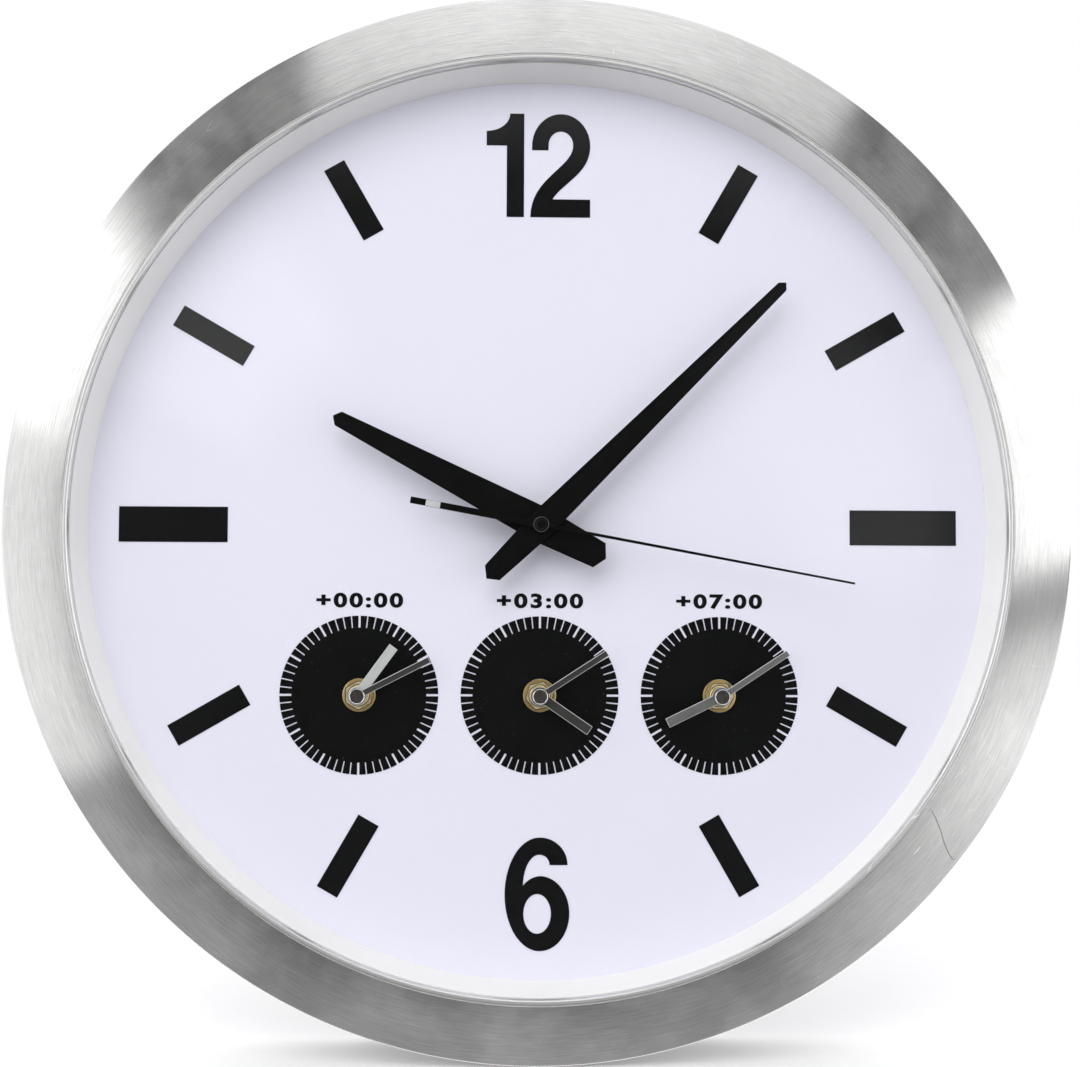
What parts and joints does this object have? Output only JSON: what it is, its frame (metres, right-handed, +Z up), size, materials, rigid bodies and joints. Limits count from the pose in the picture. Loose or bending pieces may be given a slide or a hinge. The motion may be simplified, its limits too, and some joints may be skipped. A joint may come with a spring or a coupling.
{
  "type": "world time clock",
  "caption": "Round wall clock with a brushed aluminium rim, a large white dial and small black dials for other time zones, each with its own hands.",
  "frame": {"origin": "on the axis of the main hands, halfway between the wall plane and the front of the bezel", "axes": "+Z up, +X to the viewer's right, -Y out of the face towards the viewer, +Y to the wall"},
  "size_m": [0.4, 0.046, 0.4],
  "materials": {
    "brushed_aluminium": "circular brushed",
    "zinc_steel": "zinc plated",
    "clear_glass": "polished",
    "white_ring_plastic": "smooth satin",
    "white_dial_paint": "matt white",
    "black_dial_print": "matt ink",
    "black_housing_plastic": "fine texture",
    "movement_plastic": "moulded",
    "yellow_brass": "turned",
    "black_rubber": "matt",
    "cell_jacket": "printed jacket",
    "contact_plate": "nickel plated",
    "board_laminate": "coated",
    "coil_wire": "enamelled copper",
    "stator_steel": "stamped",
    "magnet_grey": "sintered",
    "gear_plastic": "moulded",
    "main_hand_black": "satin",
    "silver_hand": "brushed",
    "cap_metal": "polished"
  },
  "bodies": {
    "housing": {"battery_contacts": "contact_plate", "bezel": "brushed_aluminium", "bezel_tabs": "zinc_steel", "bushings": "yellow_brass", "cover_screws": "zinc_steel", "dial": "white_dial_paint", "gaskets": "black_rubber", "hanger_plate": "zinc_steel", "hanger_screws": "zinc_steel", "hour_markers": "black_dial_print", "left_case": "movement_plastic", "lens_glass": "clear_glass", "main_battery": "cell_jacket", "main_bridge": "movement_plastic", "main_case": "movement_plastic", "main_circuit_board": "board_laminate", "main_coil": "coil_wire", "main_cover": "movement_plastic", "main_quartz_crystal": "zinc_steel", "main_stator": "stator_steel", "middle_case": "movement_plastic", "nuts": "yellow_brass", "rear_housing": "black_housing_plastic", "right_case": "movement_plastic", "spacer_ring": "white_ring_plastic", "washers": "yellow_brass", "zone_batteries": "cell_jacket", "zone_covers": "movement_plastic", "zone_dials": "black_dial_print", "zone_motors": "board_laminate"},
    "main_second": {"main_second_wheel": "gear_plastic", "second_hand": "main_hand_black"},
    "main_rotor": {"main_rotor": "gear_plastic", "main_rotor_magnet": "magnet_grey"},
    "main_intermediate": {"main_intermediate_wheel": "gear_plastic"},
    "main_third": {"main_third_wheel": "gear_plastic"},
    "main_centre": {"main_centre_wheel": "gear_plastic"},
    "main_minute": {"main_minute_pipe": "yellow_brass", "minute_hand": "main_hand_black"},
    "main_hour": {"main_hour_wheel": "gear_plastic", "hour_hand": "main_hand_black"},
    "main_setting": {"main_setting_wheel": "gear_plastic"},
    "left_minute": {"left_minute_arbor": "yellow_brass", "left_minute_hand": "silver_hand", "left_hand_cap": "cap_metal"},
    "left_hour": {"left_hour_wheel": "gear_plastic", "left_hour_hand": "silver_hand"},
    "left_setting": {"left_setting_wheel": "gear_plastic"},
    "middle_minute": {"middle_minute_arbor": "yellow_brass", "middle_minute_hand": "silver_hand", "middle_hand_cap": "cap_metal"},
    "middle_hour": {"middle_hour_wheel": "gear_plastic", "middle_hour_hand": "silver_hand"},
    "middle_setting": {"middle_setting_wheel": "gear_plastic"},
    "right_minute": {"right_minute_arbor": "yellow_brass", "right_minute_hand": "silver_hand", "right_hand_cap": "cap_metal"},
    "right_hour": {"right_hour_wheel": "gear_plastic", "right_hour_hand": "silver_hand"},
    "right_setting": {"right_setting_wheel": "gear_plastic"}
  },
  "joints": [
    {"name": "main_second_turn", "type": "hinge", "parent": "housing", "child": "main_second", "pos_m": [0, 0, 0], "axis": [0, 1, 0], "continuous": true},
    {"name": "main_rotor_turn", "type": "hinge", "parent": "housing", "child": "main_rotor", "pos_m": [-0.0026, 0, 0.01477], "axis": [0, 1, 0], "continuous": true},
    {"name": "main_intermediate_turn", "type": "hinge", "parent": "housing", "child": "main_intermediate", "pos_m": [-0.00146, 0, 0.00827], "axis": [0, 1, 0], "continuous": true},
    {"name": "main_third_turn", "type": "hinge", "parent": "housing", "child": "main_third", "pos_m": [-0.0085, 0, 0], "axis": [0, 1, 0], "continuous": true},
    {"name": "main_centre_turn", "type": "hinge", "parent": "housing", "child": "main_centre", "pos_m": [0, 0, 0], "axis": [0, 1, 0], "continuous": true},
    {"name": "main_minute_turn", "type": "hinge", "parent": "housing", "child": "main_minute", "pos_m": [0, 0, 0], "axis": [0, 1, 0], "continuous": true},
    {"name": "main_hour_turn", "type": "hinge", "parent": "housing", "child": "main_hour", "pos_m": [0, 0, 0], "axis": [0, 1, 0], "continuous": true},
    {"name": "main_setting_turn", "type": "hinge", "parent": "housing", "child": "main_setting", "pos_m": [0.0096, 0, 0], "axis": [0, 1, 0], "continuous": true},
    {"name": "left_minute_turn", "type": "hinge", "parent": "housing", "child": "left_minute", "pos_m": [-0.0687, 0, -0.0646], "axis": [0, 1, 0], "continuous": true},
    {"name": "left_hour_turn", "type": "hinge", "parent": "housing", "child": "left_hour", "pos_m": [-0.0687, 0, -0.0646], "axis": [0, 1, 0], "continuous": true},
    {"name": "left_setting_turn", "type": "hinge", "parent": "housing", "child": "left_setting", "pos_m": [-0.0591, 0, -0.0646], "axis": [0, 1, 0], "continuous": true},
    {"name": "middle_minute_turn", "type": "hinge", "parent": "housing", "child": "middle_minute", "pos_m": [0, 0, -0.0646], "axis": [0, 1, 0], "continuous": true},
    {"name": "middle_hour_turn", "type": "hinge", "parent": "housing", "child": "middle_hour", "pos_m": [0, 0, -0.0646], "axis": [0, 1, 0], "continuous": true},
    {"name": "middle_setting_turn", "type": "hinge", "parent": "housing", "child": "middle_setting", "pos_m": [0.0096, 0, -0.0646], "axis": [0, 1, 0], "continuous": true},
    {"name": "right_minute_turn", "type": "hinge", "parent": "housing", "child": "right_minute", "pos_m": [0.0687, 0, -0.0646], "axis": [0, 1, 0], "continuous": true},
    {"name": "right_hour_turn", "type": "hinge", "parent": "housing", "child": "right_hour", "pos_m": [0.0687, 0, -0.0646], "axis": [0, 1, 0], "continuous": true},
    {"name": "right_setting_turn", "type": "hinge", "parent": "housing", "child": "right_setting", "pos_m": [0.0783, 0, -0.0646], "axis": [0, 1, 0], "continuous": true}
  ],
  "couplings": [
    {"joint": "main_rotor_turn", "follows": "main_second_turn", "ratio": 30},
    {"joint": "main_intermediate_turn", "follows": "main_second_turn", "ratio": -3},
    {"joint": "main_third_turn", "follows": "main_second_turn", "ratio": -0.13333},
    {"joint": "main_centre_turn", "follows": "main_second_turn", "ratio": 0.016667},
    {"joint": "main_hour_turn", "follows": "main_minute_turn", "ratio": 0.083333},
    {"joint": "main_setting_turn", "follows": "main_minute_turn", "ratio": -0.33333},
    {"joint": "left_hour_turn", "follows": "left_minute_turn", "ratio": 0.083333},
    {"joint": "left_setting_turn", "follows": "left_minute_turn", "ratio": -0.33333},
    {"joint": "middle_hour_turn", "follows": "middle_minute_turn", "ratio": 0.083333},
    {"joint": "middle_setting_turn", "follows": "middle_minute_turn", "ratio": -0.33333},
    {"joint": "right_hour_turn", "follows": "right_minute_turn", "ratio": 0.083333},
    {"joint": "right_setting_turn", "follows": "right_minute_turn", "ratio": -0.33333}
  ]
}
